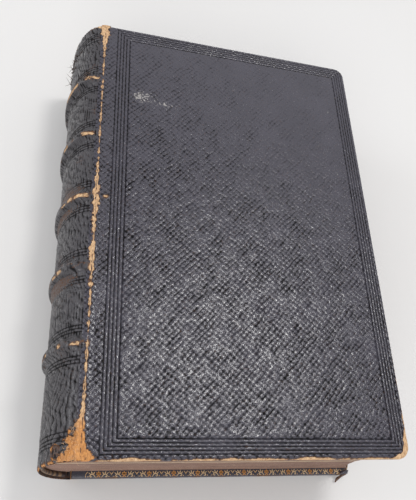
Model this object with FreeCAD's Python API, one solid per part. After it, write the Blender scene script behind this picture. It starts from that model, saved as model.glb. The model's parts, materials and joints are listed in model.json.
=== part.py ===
import FreeCAD, Part
import math
import os

# Small prayer book in full leather, lying closed on its back cover. Millimetres.
# +X runs from the spine to the fore edge, +Y from tail to head, +Z from back cover to front cover.
# The origin is under the middle of the book, on the surface that it lies on.

V = FreeCAD.Vector

# Overall sizes
board_height = 140.0        # cover boards, tail to head
board_width = 88.0          # cover boards, joint to fore edge
book_thickness = 38.5       # over both covers
spine_bulge = 9.6           # how far the rounded spine stands out past the joints
corner_radius = 3.5         # worn round fore-edge corners of the covers

# Cover build-up
cover_leather = 0.4         # leather over the boards
board_core_thickness = 1.8
turn_in_thickness = 0.25    # pared leather folded over onto the inside of a board
turn_in_width = 9.0
pastedown_thickness = 0.15
square = 2.0                # how far the boards stand out past the leaves

# Spine build-up
spine_leather_thickness = 0.5
lining_thickness = 0.3
band_height = 1.2           # raised bands above the spine leather
band_base_width = 4.4
band_crest_width = 1.8
band_fade = 0.15            # a band sinks this far into the leather where it meets the joint
cord_base_width = 3.0
cord_crest_width = 1.2
band_count = 5
tail_panel = 28.4           # tail edge of the cover to the first band
band_pitch = 22.0
endband_thickness = 1.6
head_cap = 0.5              # leather folded over each endband

# Lacing of the cords into the boards
slip_length = 7.0
slip_width = 3.0
slip_depth = 0.6

# Text block
sections_per_half = 10
paper_leaf = 0.15           # endpapers and flyleaves
page_leaf = 0.12            # loose middle leaves
middle_leaves = 4
thread_radius = 0.2
thread_inset = 1.0          # from the fold of a section to its sewing thread
kettle_inset = 8.0          # sewing thread stops this far from head and tail

# Clearances
glue_gap = 0.02             # between pieces pasted together
seam = 0.1                  # from the joint line to the leather on each side of it
joint_gap = 0.4             # from the joint line to the edge of a board's core
leaf_gap = 0.1              # between neighbouring leaves
leaf_start = 0.6            # from the joint line to the fold of an endpaper
fold_gap = 0.1              # between the folds of the sections and the spine lining
shoulder_gap = 0.3          # from the shoulder of the text block to the joint line
slip_gap = 0.05
thread_gap = 0.05
endband_gap = 0.1

# Worked out from the sizes above
joint_x = (spine_bulge + band_height - board_width) / 2
fore_x = joint_x + board_width
half_height = board_height / 2
mid_z = book_thickness / 2
cover_thickness = cover_leather + board_core_thickness + turn_in_thickness
page_half_height = half_height - square
page_fore_x = fore_x - square
fold_depth = spine_leather_thickness + lining_thickness + fold_gap
fold_bulge = spine_bulge - fold_depth
fold_half = mid_z - fold_depth
endpapers_z = cover_thickness + 2 * (paper_leaf + leaf_gap) + leaf_gap
middle_gap = middle_leaves * page_leaf + (middle_leaves + 1) * leaf_gap
section_pitch = (mid_z - middle_gap / 2 - endpapers_z) / sections_per_half
section_thickness = section_pitch - glue_gap
band_places = [tail_panel - half_height + band_pitch * i for i in range(band_count)]


def box(x0, x1, y0, y1, z0, z1):
    return Part.makeBox(x1 - x0, y1 - y0, z1 - z0, V(x0, y0, z0))


def flipped(shape):
    """The same piece for the other cover, mirrored through the middle of the thickness."""
    return shape.mirror(V(0, 0, mid_z), V(0, 0, 1))


def save(shape, node):
    shape.exportStep("parts/" + node + ".step")


# Boards

def board_plate(x0, x1, half_y, radius, z0, z1):
    """A flat plate with its two fore-edge corners rounded."""
    bend = radius * (1 - math.sqrt(0.5))
    tail_arc = Part.Arc(V(x1 - radius, -half_y, z0), V(x1 - bend, bend - half_y, z0),
                        V(x1, radius - half_y, z0))
    head_arc = Part.Arc(V(x1, half_y - radius, z0), V(x1 - bend, half_y - bend, z0),
                        V(x1 - radius, half_y, z0))
    edges = [
        Part.makeLine(V(x0, -half_y, z0), V(x1 - radius, -half_y, z0)),
        tail_arc.toShape(),
        Part.makeLine(V(x1, radius - half_y, z0), V(x1, half_y - radius, z0)),
        head_arc.toShape(),
        Part.makeLine(V(x1 - radius, half_y, z0), V(x0, half_y, z0)),
        Part.makeLine(V(x0, half_y, z0), V(x0, -half_y, z0)),
    ]
    return Part.Face(Part.Wire(edges)).extrude(V(0, 0, z1 - z0))


def slip_box(y, gap):
    """Room for one frayed-out cord end on the outer face of the back board's core."""
    x0 = joint_x + joint_gap
    half = slip_width / 2 + gap
    top = cover_leather + slip_depth + gap
    return box(x0, x0 + slip_length + gap, y - half, y + half, cover_leather + glue_gap, top)


def back_core():
    inset = cover_leather + glue_gap
    plate = board_plate(joint_x + joint_gap, fore_x - inset, half_height - inset,
                        corner_radius - inset, inset, cover_thickness - turn_in_thickness - glue_gap)
    for y in band_places:
        plate = plate.cut(slip_box(y, slip_gap))
    return plate


def cover_skin():
    """Leather over the outside of the back board, round three edges and turned in."""
    skin = board_plate(joint_x + seam, fore_x, half_height, corner_radius, 0, cover_thickness)
    room = board_plate(joint_x - seam, fore_x - cover_leather, half_height - cover_leather,
                       corner_radius - cover_leather, cover_leather,
                       cover_thickness - turn_in_thickness)
    window = box(joint_x - seam, fore_x - turn_in_width, turn_in_width - half_height,
                 half_height - turn_in_width, cover_leather, cover_thickness + 1)
    return skin.cut(room).cut(window)


def pastedown():
    z0 = cover_thickness - turn_in_thickness
    return box(joint_x + joint_gap, fore_x - turn_in_width - slip_gap,
               turn_in_width + slip_gap - half_height, half_height - turn_in_width - slip_gap,
               z0, z0 + pastedown_thickness)


def cord_slips():
    return Part.makeCompound([slip_box(y, 0) for y in band_places])


# Spine

def round_wire(reach, sink, y):
    """Half an ellipse across the spine, closed along the joint line.

    It reaches that far past the joint line, and starts and ends sink inside the covers' outer faces.
    """
    top = V(joint_x, y, book_thickness - sink)
    ellipse = Part.Ellipse(top, V(joint_x - reach, y, mid_z), V(joint_x, y, mid_z))
    curve = Part.ArcOfEllipse(ellipse, 0, math.pi).toShape()
    return Part.Wire([curve, Part.makeLine(V(joint_x, y, sink), top)])


def round_solid(depth, y0, y1):
    """The rounded back of the book, at a depth under the outside of the spine leather."""
    return Part.Face(round_wire(spine_bulge - depth, depth, y0)).extrude(V(0, y1 - y0, 0))


def rib(y, base_width, crest_width, depth, height):
    """A rib round the spine with sloping sides: its foot is at a depth, its crest at a height."""
    reach = spine_bulge + height
    sink = band_height - height + band_fade
    foot = depth + band_fade
    wires = [
        round_wire(spine_bulge - foot, foot, y - base_width / 2),
        round_wire(reach, sink, y - crest_width / 2),
        round_wire(reach, sink, y + crest_width / 2),
        round_wire(spine_bulge - foot, foot, y + base_width / 2),
    ]
    return Part.makeLoft(wires, True, True)


def outside_joint(shape, gap):
    """Keeps what lies on the spine's side of the joint line."""
    side = box(joint_x - 3 * spine_bulge, joint_x - gap, -board_height, board_height,
               -book_thickness, 2 * book_thickness)
    return shape.common(side)


def cord_rib(y):
    return rib(y, cord_base_width, cord_crest_width, spine_leather_thickness + lining_thickness,
               band_height - spine_leather_thickness)


def sewing_cord(y):
    under = round_solid(spine_leather_thickness + lining_thickness, y - cord_base_width,
                        y + cord_base_width)
    return outside_joint(cord_rib(y).cut(under), shoulder_gap)


def spine_skin():
    skin = round_solid(0, -half_height, half_height)
    for y in band_places:
        skin = skin.fuse(rib(y, band_base_width, band_crest_width, 0, band_height))
    cap_y = half_height - head_cap
    skin = skin.cut(round_solid(spine_leather_thickness, -cap_y, cap_y))
    skin = skin.cut(round_solid(spine_leather_thickness + endband_thickness, -half_height,
                                half_height))
    for y in band_places:
        skin = skin.cut(cord_rib(y))
    return outside_joint(skin, seam)


def lining():
    """Pasted panels on the folds of the sections, between the sewing cords."""
    shell = round_solid(spine_leather_thickness + glue_gap, -page_half_height, page_half_height)
    shell = shell.cut(round_solid(spine_leather_thickness + lining_thickness, -half_height,
                                  half_height))
    for y in band_places:
        half = cord_base_width / 2 + slip_gap
        shell = shell.cut(box(joint_x - 3 * spine_bulge, joint_x, y - half, y + half, 0,
                              book_thickness))
    return outside_joint(shell, shoulder_gap)


def endband(side):
    """Silk-wrapped cord on the folds at the head (side 1) or the tail (side -1)."""
    near = side * (page_half_height + endband_gap)
    far = side * (half_height - head_cap - endband_gap)
    outer = round_solid(spine_leather_thickness + endband_gap, near, far)
    inner = round_solid(spine_leather_thickness + endband_thickness, near, far)
    return outside_joint(outer.cut(inner), shoulder_gap)


# Text block

def fold_x(z):
    """Where the fold of a section lies, at a height in the thickness of the book."""
    share = (z - mid_z) / fold_half
    return joint_x - fold_bulge * math.sqrt(1 - share * share)


page_width = page_fore_x - fold_x(endpapers_z + section_thickness / 2)


def section(index):
    """One folded and sewn section of the lower half, counted up from the back board."""
    z0 = endpapers_z + section_pitch * index
    z1 = z0 + section_thickness
    z = (z0 + z1) / 2
    tip = fold_x(z)
    bend = section_thickness / 2
    y = -page_half_height
    fold = Part.Arc(V(tip + bend, y, z0), V(tip, y, z), V(tip + bend, y, z1)).toShape()
    end = tip + page_width
    edges = [
        fold,
        Part.makeLine(V(tip + bend, y, z1), V(end, y, z1)),
        Part.makeLine(V(end, y, z1), V(end, y, z0)),
        Part.makeLine(V(end, y, z0), V(tip + bend, y, z0)),
    ]
    leaves = Part.Face(Part.Wire(edges)).extrude(V(0, 2 * page_half_height, 0))
    leaves = leaves.cut(outside_folds())
    if index == 0:
        leaves = leaves.fuse(shoulder(z0 + bend))
    return leaves.cut(thread(index, thread_radius + thread_gap, half_height))


def outside_folds():
    """The space outside the rounded back of the text block, where no fold may reach."""
    room = box(joint_x - 3 * spine_bulge, joint_x, -half_height, half_height, 0, book_thickness)
    return room.cut(round_solid(fold_depth, -board_height, board_height))


def shoulder(z_top):
    """The part of an outermost section that is bent over to meet the edge of the board."""
    side = round_solid(fold_depth, -page_half_height, page_half_height)
    room = box(fold_x(z_top) + section_thickness / 2, joint_x - shoulder_gap, -page_half_height,
               page_half_height, 0, z_top)
    return side.common(room)


def thread(index, radius, half_length):
    z = endpapers_z + section_pitch * index + section_thickness / 2
    start = V(fold_x(z) + thread_inset, -half_length, z)
    return Part.makeCylinder(radius, 2 * half_length, start, V(0, 1, 0))


def sewing_thread():
    runs = [thread(i, thread_radius, page_half_height - kettle_inset)
            for i in range(sections_per_half)]
    return Part.makeCompound(runs)


def end_leaf(place):
    """A leaf beside the back board: 0 is the free endpaper, 1 the flyleaf."""
    z0 = cover_thickness + leaf_gap + place * (paper_leaf + leaf_gap)
    return box(joint_x + leaf_start, page_fore_x, -page_half_height, page_half_height,
               z0, z0 + paper_leaf)


def middle_leaf(index):
    """One of the leaves at the middle opening, counted up from the lower half."""
    z0 = mid_z - middle_gap / 2 + leaf_gap + index * (page_leaf + leaf_gap)
    tip = fold_x(mid_z)
    return box(tip + leaf_start, tip + page_width, -page_half_height, page_half_height,
               z0, z0 + page_leaf)


os.makedirs("parts", exist_ok=True)

cover_pieces = {
    "board_core": back_core(),
    "cover_leather": cover_skin(),
    "pastedown": pastedown(),
    "cord_slips": cord_slips(),
    "free_endpaper": end_leaf(0),
    "flyleaf": end_leaf(1),
}
for name, piece in cover_pieces.items():
    save(piece, "back_" + name)
    save(flipped(piece), "front_" + name)

for number in range(sections_per_half):
    piece = section(number)
    save(piece, "lower_section_%02d" % (number + 1))
    save(flipped(piece), "upper_section_%02d" % (number + 1))
save(sewing_thread(), "lower_sewing_thread")
save(flipped(sewing_thread()), "upper_sewing_thread")

for number in range(middle_leaves):
    save(middle_leaf(number), "middle_leaf_%d" % (number + 1))

save(spine_skin(), "spine_leather")
save(lining(), "spine_lining")
for number, place in enumerate(band_places):
    save(sewing_cord(place), "sewing_cord_%d" % (number + 1))
save(endband(1), "head_band")
save(endband(-1), "tail_band")
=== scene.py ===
import json
import math

import bpy
import numpy as np
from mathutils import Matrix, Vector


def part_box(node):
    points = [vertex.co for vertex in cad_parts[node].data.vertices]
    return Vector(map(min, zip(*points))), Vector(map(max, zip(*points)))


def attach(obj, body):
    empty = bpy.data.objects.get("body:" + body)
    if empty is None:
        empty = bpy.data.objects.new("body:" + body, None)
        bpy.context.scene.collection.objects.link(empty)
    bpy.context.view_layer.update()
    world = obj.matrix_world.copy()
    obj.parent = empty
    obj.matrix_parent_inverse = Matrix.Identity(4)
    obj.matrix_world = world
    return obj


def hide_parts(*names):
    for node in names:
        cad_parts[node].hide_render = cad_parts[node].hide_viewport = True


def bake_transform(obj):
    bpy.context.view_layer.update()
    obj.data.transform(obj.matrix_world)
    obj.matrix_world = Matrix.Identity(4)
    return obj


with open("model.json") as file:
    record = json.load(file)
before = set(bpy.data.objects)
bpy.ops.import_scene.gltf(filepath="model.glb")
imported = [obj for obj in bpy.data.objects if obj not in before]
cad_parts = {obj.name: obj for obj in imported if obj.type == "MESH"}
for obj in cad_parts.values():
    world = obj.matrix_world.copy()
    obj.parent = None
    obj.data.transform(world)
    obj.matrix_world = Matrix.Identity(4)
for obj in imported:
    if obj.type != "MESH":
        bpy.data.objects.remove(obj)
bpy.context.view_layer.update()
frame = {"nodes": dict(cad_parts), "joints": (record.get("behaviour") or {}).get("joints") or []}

# ---- sizes, from the frame
MM = 0.001
hinges = {joint["name"]: joint for joint in frame["joints"]}
JOINT_X, _, TOP_Z = hinges["front_hinge"]["pos_m"]
APEX_X, _, MID_Z = hinges["middle_opening"]["pos_m"]
cover_low, cover_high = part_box("front_cover_leather")
FORE_X = cover_high[0]
HALF_Y = cover_high[1]
COVER_THICK = TOP_Z - cover_low[2]
BOARD_WIDE = FORE_X - JOINT_X
BAND_HIGH = 1.2 * MM
BULGE = JOINT_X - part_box("spine_leather")[0][0] - BAND_HIGH
BANDS = [(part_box(f"sewing_cord_{k}")[0][1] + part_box(f"sewing_cord_{k}")[1][1]) / 2 for k in range(1, 6)]
PAGE_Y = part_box("lower_section_01")[1][1]
BLOCK_LOW_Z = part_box("lower_section_02")[0][2] * 2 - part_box("lower_section_03")[0][2]
BLOCK_TOP_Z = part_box("lower_section_10")[1][2]
PAGE_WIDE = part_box("lower_section_10")[1][0] - APEX_X

CORNER = 3.5 * MM           # round fore-edge corners of the covers
EDGE_ROUND = 0.9 * MM       # leather rolling over the board's edge
TURN_IN = 9.0 * MM          # leather folded over onto the inside of a board
GRAIN_DEEP = 0.25 * MM      # creases between the pebbles of the covers' leather
FILLET_DEEP = 0.17 * MM     # tooled lines round the covers
FILLET_WIDE = 0.17 * MM
SPINE_FILLETS = [4.1, 5.1, 6.1, 7.1, 8.2]     # mm from the joint
EDGE_FILLETS = [1.4, 2.3, 3.2, 4.1, 5.1]      # mm from the other three edges
BAND_FILLETS = [3.2, 4.1, 5.0]                # mm to each side of a band
STRIP_HALF = 1.5 * MM       # half the width of the leather that bends at a joint
PAPER_HINGE_LOW = 35.84 * MM        # the front inner hinge, at the loose leaf
PAPER_HINGE_HIGH = 36.22 * MM       # and at the pastedown


# ---- noise and grain

def dice(i, j, seed):
    """A repeatable random number between 0 and 1 for each lattice point."""
    n = (i * 374761393 + j * 668265263 + seed * 974634777) & 0xFFFFFFFF
    n = ((n ^ (n >> 13)) * 1274126177) & 0xFFFFFFFF
    return ((n ^ (n >> 16)) & 0xFFFFFF) / 0xFFFFFF


def noise(x, y, size, seed):
    """Smooth noise between 0 and 1 with features of that size."""
    u, v = x / size, y / size
    i, j = np.floor(u).astype(np.int64), np.floor(v).astype(np.int64)
    u, v = u - i, v - j
    u, v = u * u * (3 - 2 * u), v * v * (3 - 2 * v)
    low = dice(i, j, seed) * (1 - u) + dice(i + 1, j, seed) * u
    high = dice(i, j + 1, seed) * (1 - u) + dice(i + 1, j + 1, seed) * u
    return low * (1 - v) + high * v


def rough(x, y, size, seed):
    """Three layers of noise, between 0 and 1."""
    total = noise(x, y, size, seed) * 4 + noise(x, y, size * 0.47, seed + 1) * 2
    return (total + noise(x, y, size * 0.21, seed + 2)) / 7


def crossed_grain(x, y, turns, pitch, wander, seed):
    """Rounded pebbles between two families of creases, 0 in a crease and 1 on a top."""
    sway_x = wander * (2 * noise(x, y, 2.1 * pitch, seed) - 1)
    sway_y = wander * (2 * noise(x, y, 2.4 * pitch, seed + 1) - 1)
    cuts = []
    cells = []
    shares = []
    for turn in turns:
        angle = math.radians(turn)
        place = ((x + sway_x) * math.cos(angle) + (y + sway_y) * math.sin(angle)) / pitch
        cells.append(np.floor(place).astype(np.int64))
        shares.append(place - np.floor(place) - 0.5)
        cuts.append(np.abs(np.sin(math.pi * place)))
    weak = 0.62 * noise(x, y, 1.9 * pitch, seed + 2)
    first = cuts[0] * (1 - 0.3 * weak) + 0.3 * weak
    second = cuts[1] * (1 - weak) + weak
    tops = (first * second) ** 0.75
    lean = (dice(cells[0], cells[1], seed + 4) - 0.5) * shares[0]
    lean = lean + (dice(cells[0], cells[1], seed + 5) - 0.5) * shares[1]
    return np.clip(tops * (0.66 + 0.34 * dice(cells[0], cells[1], seed + 3)) + 1.2 * lean * tops, 0, 1.3)


def step_up(value, low, high):
    """A smooth step from 0 at low to 1 at high."""
    t = np.clip((value - low) / (high - low), 0, 1)
    return t * t * (3 - 2 * t)


def near_tail(y):
    """1 in the torn zone at the tail of the joint, 0 above it."""
    return step_up(-y, HALF_Y - 12 * MM, HALF_Y - 7 * MM)


# ---- wear

# Millimetres from the tail, then how far the worn joint reaches onto the cover and onto the spine
JOINT_WEAR = [
    (0, 2.5, 5.6), (1.5, 2.7, 5.4), (2.6, 1.3, 4.8), (5, 0.5, 3.6), (8, 0.35, 2.3), (11, 0.3, 1.2),
    (18, 0.15, 0.5), (27, 0.05, 0.3), (29, 0.4, 0.7), (32, 0.0, 0.2), (41, 0.0, 0.3), (45, 0.5, 1.2),
    (55, 0.6, 1.3), (59, 0.2, 0.6), (65, 0.45, 0.9), (71, 1.1, 1.2), (78, 0.6, 1.1), (82, 0.1, 0.4),
    (90, 0.1, 0.3), (94, 0.35, 0.7), (98, 0.0, 0.25), (108, 0.0, 0.3), (113, 0.3, 0.6), (119, 0.05, 0.35),
    (130, 0.4, 0.9), (134, 1.2, 1.9), (138, 1.7, 2.7), (140, 1.5, 5.0),
]


def joint_wear(out, y):
    """How worn the leather is at a distance out from the joint, on the cover if positive."""
    tail = (y + HALF_Y) / MM
    places = [row[0] for row in JOINT_WEAR]
    on_cover = np.interp(tail, places, [row[1] for row in JOINT_WEAR]) * MM
    on_spine = np.interp(tail, places, [row[2] for row in JOINT_WEAR]) * MM
    ragged = rough(out, y, 1.1 * MM, 11) - 0.5
    reach = np.where(out > 0, on_cover, on_spine)
    reach = reach * (0.55 + 0.4 * near_tail(y)) + 0.04 * MM
    soft = 0.4 * MM + 0.1 * reach
    return np.clip(0.5 + (reach * (1 + 1.6 * ragged) - np.abs(out) + ragged * MM * 0.9) / soft, 0, 1)


def edge_wear(inside, x, y):
    """How worn a cover's edge is at a distance inside its outline."""
    fore = step_up(x, FORE_X - 6 * MM, FORE_X - 1 * MM)
    tail = step_up(-y, HALF_Y - 9 * MM, HALF_Y - 1 * MM)
    head = step_up(y, HALF_Y - 7 * MM, HALF_Y - 1 * MM)
    low = step_up(-y, 10 * MM, HALF_Y)
    reach = 0.10 + 0.45 * fore * low + 1.35 * fore * tail + 0.5 * fore * head + 0.34 * tail
    ragged = rough(x, y, 2.2 * MM, 31)
    bitten = rough(x, y, 6.5 * MM, 37)
    reach = reach * MM * (0.25 + 1.6 * ragged) * (0.35 + 1.3 * bitten)
    return np.clip(0.12 + (reach - inside) / (0.45 * MM), 0, 1) * step_up(bitten + fore * tail, 0.3, 0.5)


# ---- mesh helpers

def xyz(x, y, z):
    """Points from three coordinates, each of them a grid or a single number."""
    return np.stack(np.broadcast_arrays(x, y, z), -1)


def add_object(name, points, faces, look, rest=None, layers=None, smooth=True):
    """A mesh object. rest is its own pattern space in millimetres, and layers are numbers per point."""
    points = np.reshape(points, (-1, 3))
    mesh = bpy.data.meshes.new(name)
    mesh.from_pydata(points.tolist(), [], [list(map(int, face)) for face in faces])
    mesh.materials.append(MATERIALS[look])
    place = mesh.attributes.new("rest", "FLOAT_VECTOR", "POINT")
    place.data.foreach_set("vector", np.ravel(points / MM if rest is None else rest).astype(np.float32))
    for key, values in (layers or {}).items():
        column = mesh.attributes.new(key, "FLOAT", "POINT")
        column.data.foreach_set("value", np.ravel(values).astype(np.float32))
    mesh.polygons.foreach_set("use_smooth", [smooth] * len(mesh.polygons))
    mesh.update()
    piece = bpy.data.objects.new(name, mesh)
    bpy.context.scene.collection.objects.link(piece)
    return piece


def grid_faces(rows, columns, start=0, closed=False, flip=False):
    """Quads of a grid whose points run along its columns first."""
    j, i = np.meshgrid(np.arange(columns if closed else columns - 1), np.arange(rows - 1))
    a = start + i * columns + j
    b = start + i * columns + (j + 1) % columns
    faces = np.stack([a, b, b + columns, a + columns], -1).reshape(-1, 4)
    return faces[:, ::-1] if flip else faces


def tube_faces(rows, columns, start=0, flip=False):
    """Quads round a tube of closed rings, then a face over its first end and one over its last."""
    ring = np.arange(start, start + columns)
    faces = grid_faces(rows, columns, start, closed=True).tolist()
    faces += [ring[::-1].tolist(), (ring + (rows - 1) * columns).tolist()]
    return [face[::-1] for face in faces] if flip else faces


def grid_rim(rows, columns):
    """Numbers of the points round a grid's outline, starting along its first row."""
    numbers = np.arange(rows * columns).reshape(rows, columns)
    return np.concatenate([numbers[0], numbers[1:, -1], numbers[-1, -2::-1], numbers[-2:0:-1, 0]])


def mirrored(points, faces):
    """The same shape on the other cover, turned over about the middle of the book."""
    return points * (1, 1, -1) + (0, 0, 2 * MID_Z), [face[::-1] for face in faces]


def lines_between(low, high, step, fine_step, fine):
    """Grid lines from low to high, closer together inside the fine stretches."""
    lines = [low]
    while lines[-1] < high - 1e-9:
        here = lines[-1]
        close = any(start - 1e-9 <= here < end - 1e-9 for start, end in fine)
        nearest = [start for start, _ in fine if here < start - 1e-9]
        ahead = here + (fine_step if close else step)
        if not close and nearest:
            ahead = min(ahead, min(nearest))
        lines.append(min(ahead, high))
    if lines[-1] - lines[-2] < fine_step / 3:
        del lines[-2]
    return np.array(lines)


# ---- camera and light

AIM_Z = 0.02        # height that the lamps are aimed at


def make_camera():
    data = bpy.data.cameras.new("camera")
    data.lens = 42.47
    data.sensor_width = 36
    data.shift_x = -0.0269
    data.shift_y = 0.0081
    data.clip_start = 0.01
    camera = bpy.data.objects.new("camera", data)
    camera.location = (-0.0484, -0.0894, 0.1853)
    camera.rotation_euler = (math.radians(27.21), math.radians(-16.28), math.radians(-2.63))
    bpy.context.scene.collection.objects.link(camera)
    bpy.context.scene.camera = camera


def soft_light(name, place, size, power, tint):
    """A round lamp aimed at the middle of the book."""
    data = bpy.data.lights.new(name, "AREA")
    data.shape = "DISK"
    data.size = size
    data.energy = power
    data.color = tint
    lamp = bpy.data.objects.new(name, data)
    lamp.location = place
    tilt = math.atan2(math.hypot(place[0], place[1]), place[2] - AIM_Z)
    lamp.rotation_euler = (tilt, 0, math.atan2(place[0], -place[1]))
    bpy.context.scene.collection.objects.link(lamp)


def make_lights():
    soft_light("overhead", (0.23, 0.19, 0.85), 0.20, 2.7, (1.0, 0.985, 0.96))
    soft_light("window", (0.15, 0.90, 0.90), 1.0, 0.6, (0.97, 0.98, 1.0))
    soft_light("fill", (-0.30, -0.90, 0.60), 0.8, 6.0, (1.0, 0.98, 0.96))
    soft_light("side", (-0.95, 0.15, 0.55), 0.5, 2.2, (0.96, 0.98, 1.0))
    world = bpy.data.worlds.new("room")
    world.use_nodes = True
    back = world.node_tree.nodes["Background"]
    back.inputs["Color"].default_value = (0.985, 0.985, 1.0, 1)
    back.inputs["Strength"].default_value = 0.80
    bpy.context.scene.world = world
    bpy.context.scene.view_settings.view_transform = "Standard"


# ---- material helpers

def node(tree, kind, inputs=None, **settings):
    """A shader node with its settings, and its sockets set or linked."""
    made = tree.nodes.new("ShaderNode" + kind)
    for key, value in settings.items():
        setattr(made, key, value)
    for key, value in (inputs or {}).items():
        if isinstance(value, bpy.types.NodeSocket):
            tree.links.new(value, made.inputs[key])
        else:
            made.inputs[key].default_value = value
    return made


def maths(how, a, b=0.0):
    """Arithmetic on a socket, in the node tree that the socket belongs to."""
    return node(a.id_data, "Math", {0: a, 1: b}, operation=how).outputs[0]


def plus(a, b):
    return maths("ADD", a, b)


def times(a, b):
    return maths("MULTIPLY", a, b)


def spread(value, low, high, to_low=0.0, to_high=1.0):
    """Maps a value from one range to another, and stops at its ends."""
    ends = {"Value": value, "From Min": low, "From Max": high, "To Min": to_low, "To Max": to_high}
    return node(value.id_data, "MapRange", ends).outputs[0]


def mixed(share, first, second):
    """A mix of two colours, each of them a socket or red, green and blue."""
    ends = [(*end, 1) if isinstance(end, tuple) else end for end in (first, second)]
    return node(share.id_data, "Mix", {0: share, 6: ends[0], 7: ends[1]}, data_type="RGBA").outputs[2]


def cloud(place, scale, detail=3.0, rough_part=0.55, bend=0.0):
    """Soft noise between 0 and 1."""
    settings = {"Vector": place, "Scale": scale, "Detail": detail, "Roughness": rough_part}
    return node(place.id_data, "TexNoise", {**settings, "Distortion": bend}).outputs["Fac"]


def layer(tree, key):
    return node(tree, "Attribute", attribute_name=key).outputs["Fac"]


def pattern_space(tree, stretch=(1, 1, 1)):
    """The piece's own pattern space in millimetres, which bends with it."""
    place = node(tree, "Attribute", attribute_name="rest").outputs["Vector"]
    return node(tree, "Mapping", {"Vector": place, "Scale": stretch}).outputs[0]


def cad_space(tree, stretch=(1, 1, 1)):
    """Millimetres for a CAD piece."""
    place = node(tree, "TexCoord").outputs["Object"]
    scale = [1000 * value for value in stretch]
    return node(tree, "Mapping", {"Vector": place, "Scale": scale}).outputs[0]


def material(name):
    """A new material and its node tree."""
    made = bpy.data.materials.new(name)
    made.use_nodes = True
    return made, made.node_tree


def finish(made, colour, gloss, height, deep, **others):
    """Links a material's colour, roughness and bump, and sets its other sockets."""
    tree = made.node_tree
    sockets = tree.nodes["Principled BSDF"].inputs
    bump = node(tree, "Bump", {"Height": height, "Distance": deep, "Strength": 1.0})
    tree.links.new(colour, sockets["Base Color"])
    tree.links.new(gloss, sockets["Roughness"])
    tree.links.new(bump.outputs[0], sockets["Normal"])
    for key, value in others.items():
        sockets[key].default_value = value
    return made


# ---- materials

def leather_material(name, black, smooth_part):
    """Black goatskin: creases darkened with painted shade, paler rubbed tops, brown and tan where it is worn
    through.
    """
    made, tree = material(name)
    place = pattern_space(tree)
    tops = layer(tree, "tops")
    worn = layer(tree, "worn")
    fine = cloud(place, 2.6, 5, 0.65)
    broad = cloud(place, 0.09, 4, 0.6)
    pores = node(tree, "TexVoronoi", {"Vector": place, "Scale": 2.3}, feature="F1").outputs["Distance"]
    # Painted shade: where tops is low (creases, tooled grooves, the tear) the colour goes to 0.05 of the
    # black, standing in for the shade that falls there.
    painted_crease_shade = spread(tops, 0.20, 0.52)
    dark = tuple(0.05 * value for value in black)
    rubbed = tuple(1.35 * value for value in black)
    colour = mixed(painted_crease_shade, dark, black)
    colour = mixed(spread(broad, 0.45, 0.75, 0, 0.55), colour, rubbed)
    colour = mixed(spread(fine, 0.55, 0.8, 0, 0.35), colour, rubbed)
    speck = cloud(place, 1.25, 3, 0.6)
    rubbing = plus(speck, times(layer(tree, "scuffed"), 0.34))
    dusty = times(spread(rubbing, 0.69, 0.80), spread(tops, 0.15, 0.5, 0, 0.6))
    colour = mixed(dusty, colour, (0.42, 0.40, 0.38))
    broken = plus(worn, spread(cloud(place, 1.7, 6, 0.7), 0.3, 0.7, -0.3, 0.3))
    browned = spread(broken, 0.12, 0.42)
    bared = spread(broken, 0.48, 0.68)
    fibre = cloud(pattern_space(tree, (2.4, 1.0, 1)), 0.75, 6, 0.78, 0.6)
    brown = mixed(fibre, (0.035, 0.016, 0.010), (0.13, 0.060, 0.030))
    tan = mixed(spread(fibre, 0.32, 0.6), (0.28, 0.135, 0.065), (0.64, 0.44, 0.255))
    orange = mixed(spread(fibre, 0.3, 0.62), (0.24, 0.085, 0.025), (0.62, 0.30, 0.105))
    tan = mixed(layer(tree, "torn"), tan, orange)
    colour = mixed(browned, colour, brown)
    colour = mixed(bared, colour, tan)
    gloss = spread(tops, 0.15, 0.75, smooth_part + 0.45, smooth_part)
    gloss = plus(gloss, spread(fine, 0.3, 0.7, -0.02, 0.05))
    gloss = plus(gloss, spread(broad, 0.4, 0.7, 0, 0.07))
    gloss = maths("MAXIMUM", gloss, times(browned, 0.85))
    height = maths("SUBTRACT", times(fine, 0.10), spread(pores, 0, 0.5, 0.08, 0))
    height = plus(height, times(cloud(place, 1.15, 2, 0.5), 0.10))
    height = plus(height, times(bared, fibre))
    sockets = tree.nodes["Principled BSDF"].inputs
    # The reflection is also weakened where tops is low, a further stand-in for the shade in the creases.
    tree.links.new(spread(tops, 0.16, 0.62, 0.10, 0.62), sockets["Specular IOR Level"])
    return finish(made, colour, gloss, height, 0.00035, IOR=1.42)


def simple_material(name, low, high, scale, rough_low, rough_high, deep, stretch=None):
    """Two tones of one colour with a fine uneven surface. stretch is given for CAD pieces only."""
    made, tree = material(name)
    place = cad_space(tree, stretch) if stretch else pattern_space(tree)
    broad = cloud(place, scale * 0.13, 4, 0.6)
    fine = cloud(place, scale, 5, 0.7)
    both = plus(times(broad, 0.5), times(fine, 0.5))
    colour = mixed(spread(both, 0.38, 0.62), low, high)
    return finish(made, colour, spread(fine, 0.3, 0.7, rough_low, rough_high), fine, deep)


def edge_material():
    """Rubbed gilding on the edges of the leaves, with the fine lines of single leaves."""
    made, tree = material("gilt_edges")
    lines = cloud(pattern_space(tree, (0.05, 0.05, 5.5)), 1.6, 4, 0.75)
    broad = cloud(pattern_space(tree), 0.16, 4, 0.6)
    rubbed = cloud(pattern_space(tree, (1, 1, 2.5)), 0.8, 5, 0.7)
    colour = mixed(spread(lines, 0.36, 0.62), (0.080, 0.038, 0.027), (0.28, 0.17, 0.125))
    colour = mixed(spread(broad, 0.4, 0.7, 0, 0.5), colour, (0.21, 0.118, 0.084))
    colour = mixed(spread(rubbed, 0.56, 0.7, 0, 0.6), colour, (0.43, 0.32, 0.24))
    return finish(made, colour, spread(rubbed, 0.3, 0.7, 0.34, 0.62), lines, 0.00006, Metallic=0.25)


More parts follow.
